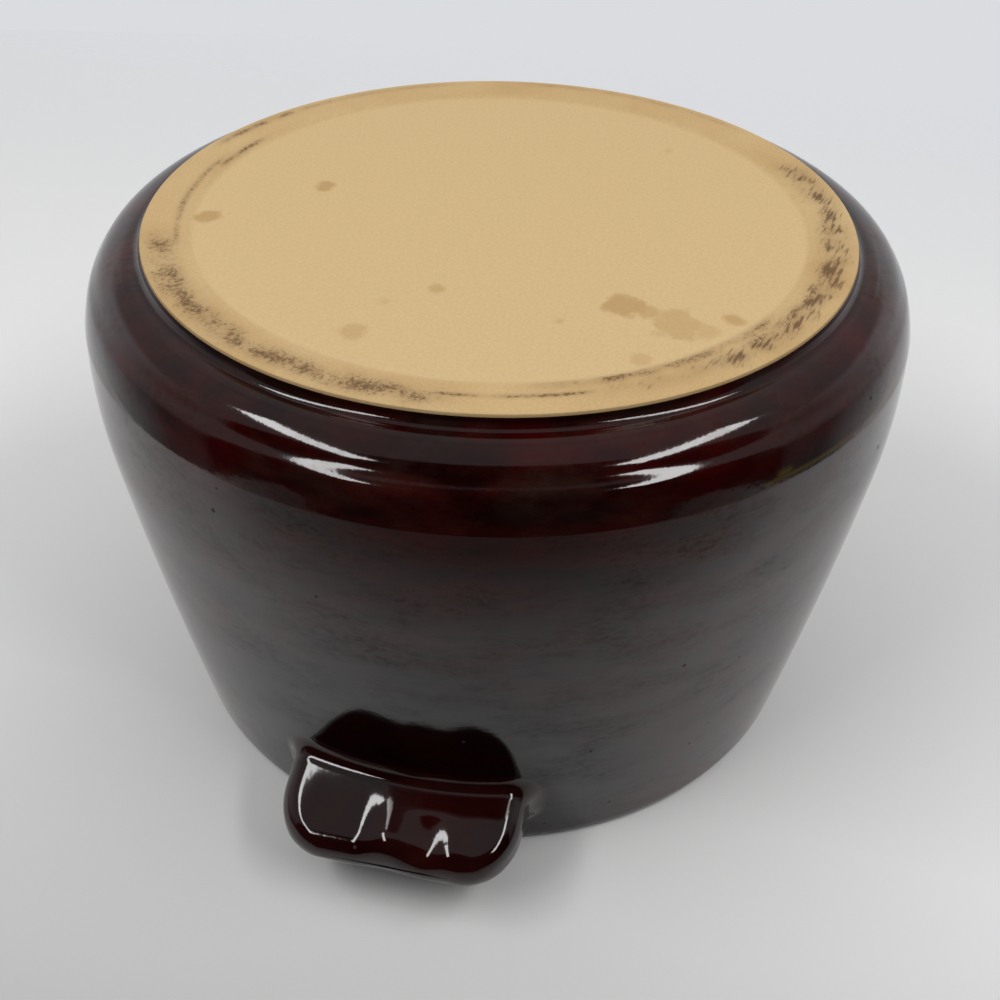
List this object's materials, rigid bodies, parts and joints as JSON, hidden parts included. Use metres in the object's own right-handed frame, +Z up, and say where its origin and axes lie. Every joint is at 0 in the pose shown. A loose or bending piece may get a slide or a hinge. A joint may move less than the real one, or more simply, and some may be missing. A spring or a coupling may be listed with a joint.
{
  "type": "stoneware bean pot",
  "caption": "Round open glazed stoneware pot with a wide belly, a narrower mouth with an inner ledge, a bare flat foot and lug handles with finger dents on opposite sides of the rim.",
  "frame": {"origin": "centre of the foot, on the surface that the pot stands on", "axes": "+Z up through the mouth, X through the two lug handles, Y across them"},
  "size_m": [0.2066, 0.1896, 0.1225],
  "materials": {
    "bare_stoneware": "bare fired buff stoneware, fine grain",
    "dried_slip": "fired slip, smoothed by finger",
    "oxblood_glaze": "glossy dark oxblood-brown glaze",
    "liner_glaze": "glossy dark oxblood-brown glaze, inside"
  },
  "bodies": {
    "root": {"stoneware_body": "bare_stoneware", "left_lug": "bare_stoneware", "right_lug": "bare_stoneware", "left_lug_slip": "dried_slip", "right_lug_slip": "dried_slip", "outer_glaze": "oxblood_glaze", "liner_glaze": "liner_glaze"}
  },
  "joints": []
}
